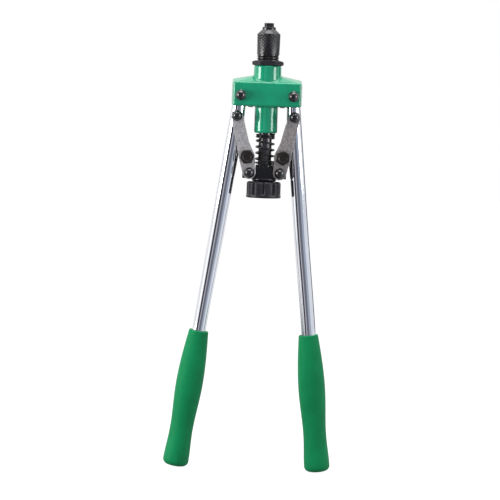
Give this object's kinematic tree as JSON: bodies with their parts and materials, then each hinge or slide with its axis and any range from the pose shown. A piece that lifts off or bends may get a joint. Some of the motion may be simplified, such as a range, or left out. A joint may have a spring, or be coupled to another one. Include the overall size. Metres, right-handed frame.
{
  "type": "rivet nut tool",
  "caption": "Long-handled hand tool that sets rivet nuts: folding link levers pull a threaded mandrel back through a knurled nose, with a knob to spin the mandrel.",
  "frame": {"origin": "on the tool's axis, in the working face of the anvil", "axes": "+Z out of the nose along the mandrel, +X towards the right handle, front at -Y"},
  "size_m": [0.168, 0.0434, 0.4474],
  "materials": {
    "green_enamel": "glossy green enamel on a die casting",
    "green_vinyl": "satin dipped vinyl",
    "chrome_tube": "bright chrome plate",
    "zinc_plate": "grey zinc-plated pressed steel",
    "black_oxide": "oiled black oxide",
    "knob_plastic": "satin moulded plastic",
    "bare_steel": "turned steel"
  },
  "bodies": {
    "frame": {"body_casting": "green_enamel", "handle_pivot_bolts": "black_oxide", "handle_pivot_cap_nuts": "black_oxide", "return_spring": "black_oxide"},
    "lock_nut": {"lock_nut": "black_oxide"},
    "nose": {"nose_sleeve": "black_oxide", "anvil": "black_oxide"},
    "left_handle": {"left_handle_tube": "chrome_tube", "left_handle_core": "bare_steel", "left_grip": "green_vinyl", "left_link_bolt": "black_oxide", "left_link_cap_nut": "black_oxide"},
    "right_handle": {"right_handle_tube": "chrome_tube", "right_handle_core": "bare_steel", "right_grip": "green_vinyl", "right_link_bolt": "black_oxide", "right_link_cap_nut": "black_oxide"},
    "left_link": {"left_front_link": "zinc_plate", "left_rear_link": "zinc_plate", "left_tie_bolt": "black_oxide", "left_tie_spacer": "bare_steel", "left_tie_nut": "black_oxide"},
    "right_link": {"right_front_link": "zinc_plate", "right_rear_link": "zinc_plate", "right_tie_bolt": "black_oxide", "right_tie_spacer": "bare_steel", "right_tie_nut": "black_oxide"},
    "crosshead": {"crosshead": "black_oxide", "crosshead_bolts": "black_oxide", "crosshead_cap_nuts": "black_oxide", "spring_seat": "black_oxide", "pull_tube": "black_oxide", "mandrel_holder": "bare_steel", "bearing_retainer": "black_oxide", "thrust_washer": "bare_steel"},
    "spinner": {"mandrel": "black_oxide", "spindle": "bare_steel", "spin_knob": "knob_plastic", "knob_screw": "bare_steel"}
  },
  "joints": [
    {"name": "left_handle_swing", "type": "hinge", "parent": "frame", "child": "left_handle", "pos_m": [-0.0259, 0, -0.0678], "axis": [0, 1, 0], "range_deg": [0, 40]},
    {"name": "left_link_swing", "type": "hinge", "parent": "left_handle", "child": "left_link", "pos_m": [-0.02882, 0, -0.08809], "axis": [0, -1, 0], "range_deg": [0, 52.7]},
    {"name": "right_handle_swing", "type": "hinge", "parent": "frame", "child": "right_handle", "pos_m": [0.0259, 0, -0.0678], "axis": [0, -1, 0], "range_deg": [0, 40]},
    {"name": "right_link_swing", "type": "hinge", "parent": "right_handle", "child": "right_link", "pos_m": [0.02797, 0, -0.08819], "axis": [0, 1, 0], "range_deg": [0, 54.4]},
    {"name": "crosshead_slide", "type": "slide", "parent": "frame", "child": "crosshead", "axis": [0, 0, 1], "range_m": [0, 0.01004], "stiffness_N_per_m": 800, "springref_m": -0.005, "deforming": ["return_spring"]},
    {"name": "knob_spin", "type": "hinge", "parent": "crosshead", "child": "spinner", "pos_m": [0, 0, -0.16], "axis": [0, 0, 1], "continuous": true},
    {"name": "nose_turn", "type": "hinge", "parent": "frame", "child": "nose", "pos_m": [0, 0, -0.02], "axis": [0, 0, 1], "continuous": true},
    {"name": "lock_nut_turn", "type": "hinge", "parent": "frame", "child": "lock_nut", "pos_m": [0, 0, -0.0356], "axis": [0, 0, 1], "continuous": true}
  ],
  "couplings": [
    {"joint": "right_handle_swing", "follows": "left_handle_swing", "ratio": 1},
    {"joint": "left_link_swing", "follows": "left_handle_swing", "ratio": 1.3156},
    {"joint": "right_link_swing", "follows": "left_handle_swing", "ratio": 1.3583},
    {"joint": "crosshead_slide", "follows": "left_handle_swing", "m_per_rad": 0.014358}
  ]
}
